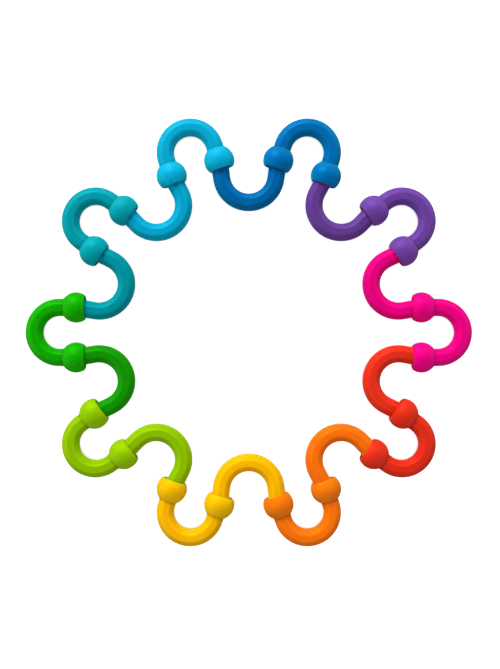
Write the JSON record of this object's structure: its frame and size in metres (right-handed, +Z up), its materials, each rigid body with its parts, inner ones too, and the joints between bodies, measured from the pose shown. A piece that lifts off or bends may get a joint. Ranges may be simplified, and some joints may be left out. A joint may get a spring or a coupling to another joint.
{
  "type": "twisty snake puzzle",
  "caption": "Closed ring of U-shaped rainbow links; outer links end in round collars whose cups hold the ball heads of the inner links, so every joint swivels.",
  "frame": {"origin": "centre of the ring, on the plane that its collars rest on", "axes": "+Z up through the ring, +X through the crest of the magenta outer link, +Y between the blue and the sky outer links"},
  "size_m": [0.2584, 0.2478, 0.0176],
  "materials": {
    "soft_touch_magenta_outer": "satin",
    "soft_touch_magenta_inner": "satin",
    "soft_touch_purple_outer": "satin",
    "soft_touch_purple_inner": "satin",
    "soft_touch_blue_outer": "satin",
    "soft_touch_blue_inner": "satin",
    "soft_touch_sky_outer": "satin",
    "soft_touch_sky_inner": "satin",
    "soft_touch_teal_outer": "satin",
    "soft_touch_teal_inner": "satin",
    "soft_touch_green_outer": "satin",
    "soft_touch_green_inner": "satin",
    "soft_touch_lime_outer": "satin",
    "soft_touch_lime_inner": "satin",
    "soft_touch_yellow_outer": "satin",
    "soft_touch_yellow_inner": "satin",
    "soft_touch_orange_outer": "satin",
    "soft_touch_orange_inner": "satin",
    "soft_touch_red_outer": "satin",
    "soft_touch_red_inner": "satin"
  },
  "bodies": {
    "socket_link_magenta": {"socket_link_magenta": "soft_touch_magenta_outer"},
    "ball_link_magenta": {"ball_link_magenta": "soft_touch_magenta_inner"},
    "socket_link_purple": {"socket_link_purple": "soft_touch_purple_outer"},
    "ball_link_purple": {"ball_link_purple": "soft_touch_purple_inner"},
    "socket_link_blue": {"socket_link_blue": "soft_touch_blue_outer"},
    "ball_link_blue": {"ball_link_blue": "soft_touch_blue_inner"},
    "socket_link_sky": {"socket_link_sky": "soft_touch_sky_outer"},
    "ball_link_sky": {"ball_link_sky": "soft_touch_sky_inner"},
    "socket_link_teal": {"socket_link_teal": "soft_touch_teal_outer"},
    "ball_link_teal": {"ball_link_teal": "soft_touch_teal_inner"},
    "socket_link_green": {"socket_link_green": "soft_touch_green_outer"},
    "ball_link_green": {"ball_link_green": "soft_touch_green_inner"},
    "socket_link_lime": {"socket_link_lime": "soft_touch_lime_outer"},
    "ball_link_lime": {"ball_link_lime": "soft_touch_lime_inner"},
    "socket_link_yellow": {"socket_link_yellow": "soft_touch_yellow_outer"},
    "ball_link_yellow": {"ball_link_yellow": "soft_touch_yellow_inner"},
    "socket_link_orange": {"socket_link_orange": "soft_touch_orange_outer"},
    "ball_link_orange": {"ball_link_orange": "soft_touch_orange_inner"},
    "socket_link_red": {"socket_link_red": "soft_touch_red_outer"},
    "ball_link_red": {"ball_link_red": "soft_touch_red_inner"}
  },
  "joints": [
    {"name": "teal_to_green_swivel", "type": "hinge", "parent": "socket_link_green", "child": "ball_link_teal", "pos_m": [-0.10012, 0.0145, 0.0088], "axis": [-1, 0, 0], "range_deg": [-90, 90]},
    {"name": "teal_swivel", "type": "hinge", "parent": "ball_link_teal", "child": "socket_link_teal", "pos_m": [-0.08952, 0.04712, 0.0088], "axis": [-0.809, 0.5878, 0], "range_deg": [-90, 90]},
    {"name": "sky_to_teal_swivel", "type": "hinge", "parent": "socket_link_teal", "child": "ball_link_sky", "pos_m": [-0.07248, 0.07058, 0.0088], "axis": [0.809, -0.5878, 0], "range_deg": [-90, 90]},
    {"name": "sky_swivel", "type": "hinge", "parent": "ball_link_sky", "child": "socket_link_sky", "pos_m": [-0.04473, 0.09074, 0.0088], "axis": [0.309, -0.9511, 0], "range_deg": [-90, 90]},
    {"name": "blue_to_sky_swivel", "type": "hinge", "parent": "socket_link_sky", "child": "ball_link_blue", "pos_m": [-0.01715, 0.0997, 0.0088], "axis": [-0.309, 0.9511, 0], "range_deg": [-90, 90]},
    {"name": "blue_swivel", "type": "hinge", "parent": "ball_link_blue", "child": "socket_link_blue", "pos_m": [0.01715, 0.0997, 0.0088], "axis": [0.309, 0.9511, 0], "range_deg": [-90, 90]},
    {"name": "purple_to_blue_swivel", "type": "hinge", "parent": "socket_link_blue", "child": "ball_link_purple", "pos_m": [0.04473, 0.09074, 0.0088], "axis": [-0.309, -0.9511, 0], "range_deg": [-90, 90]},
    {"name": "purple_swivel", "type": "hinge", "parent": "ball_link_purple", "child": "socket_link_purple", "pos_m": [0.07248, 0.07058, 0.0088], "axis": [-0.809, -0.5878, 0], "range_deg": [-90, 90]},
    {"name": "magenta_to_purple_swivel", "type": "hinge", "parent": "socket_link_purple", "child": "ball_link_magenta", "pos_m": [0.08952, 0.04712, 0.0088], "axis": [0.809, 0.5878, 0], "range_deg": [-90, 90]},
    {"name": "magenta_swivel", "type": "hinge", "parent": "ball_link_magenta", "child": "socket_link_magenta", "pos_m": [0.10012, 0.0145, 0.0088], "axis": [1, 0, 0], "range_deg": [-90, 90]},
    {"name": "green_swivel", "type": "hinge", "parent": "socket_link_green", "child": "ball_link_green", "pos_m": [-0.10012, -0.0145, 0.0088], "axis": [-1, 0, 0], "range_deg": [-90, 90]},
    {"name": "green_to_lime_swivel", "type": "hinge", "parent": "ball_link_green", "child": "socket_link_lime", "pos_m": [-0.08952, -0.04712, 0.0088], "axis": [-0.809, -0.5878, 0], "range_deg": [-90, 90]},
    {"name": "lime_swivel", "type": "hinge", "parent": "socket_link_lime", "child": "ball_link_lime", "pos_m": [-0.07248, -0.07058, 0.0088], "axis": [0.809, 0.5878, 0], "range_deg": [-90, 90]},
    {"name": "lime_to_yellow_swivel", "type": "hinge", "parent": "ball_link_lime", "child": "socket_link_yellow", "pos_m": [-0.04473, -0.09074, 0.0088], "axis": [0.309, 0.9511, 0], "range_deg": [-90, 90]},
    {"name": "yellow_swivel", "type": "hinge", "parent": "socket_link_yellow", "child": "ball_link_yellow", "pos_m": [-0.01715, -0.0997, 0.0088], "axis": [-0.309, -0.9511, 0], "range_deg": [-90, 90]},
    {"name": "yellow_to_orange_swivel", "type": "hinge", "parent": "ball_link_yellow", "child": "socket_link_orange", "pos_m": [0.01715, -0.0997, 0.0088], "axis": [0.309, -0.9511, 0], "range_deg": [-90, 90]},
    {"name": "orange_swivel", "type": "hinge", "parent": "socket_link_orange", "child": "ball_link_orange", "pos_m": [0.04473, -0.09074, 0.0088], "axis": [-0.309, 0.9511, 0], "range_deg": [-90, 90]},
    {"name": "orange_to_red_swivel", "type": "hinge", "parent": "ball_link_orange", "child": "socket_link_red", "pos_m": [0.07248, -0.07058, 0.0088], "axis": [-0.809, 0.5878, 0], "range_deg": [-90, 90]},
    {"name": "red_swivel", "type": "hinge", "parent": "socket_link_red", "child": "ball_link_red", "pos_m": [0.08952, -0.04712, 0.0088], "axis": [0.809, -0.5878, 0], "range_deg": [-90, 90]}
  ],
  "couplings": [
    {"joint": "orange_swivel", "follows": "blue_to_sky_swivel", "ratio": 1},
    {"joint": "yellow_to_orange_swivel", "follows": "sky_swivel", "ratio": 1},
    {"joint": "red_swivel", "follows": "sky_to_teal_swivel", "ratio": 1},
    {"joint": "orange_to_red_swivel", "follows": "teal_swivel", "ratio": 1},
    {"joint": "magenta_swivel", "follows": "teal_to_green_swivel", "ratio": 1},
    {"joint": "purple_swivel", "follows": "green_to_lime_swivel", "ratio": 1},
    {"joint": "magenta_to_purple_swivel", "follows": "lime_swivel", "ratio": 1},
    {"joint": "blue_swivel", "follows": "lime_to_yellow_swivel", "ratio": 1},
    {"joint": "purple_to_blue_swivel", "follows": "yellow_swivel", "ratio": 1}
  ]
}
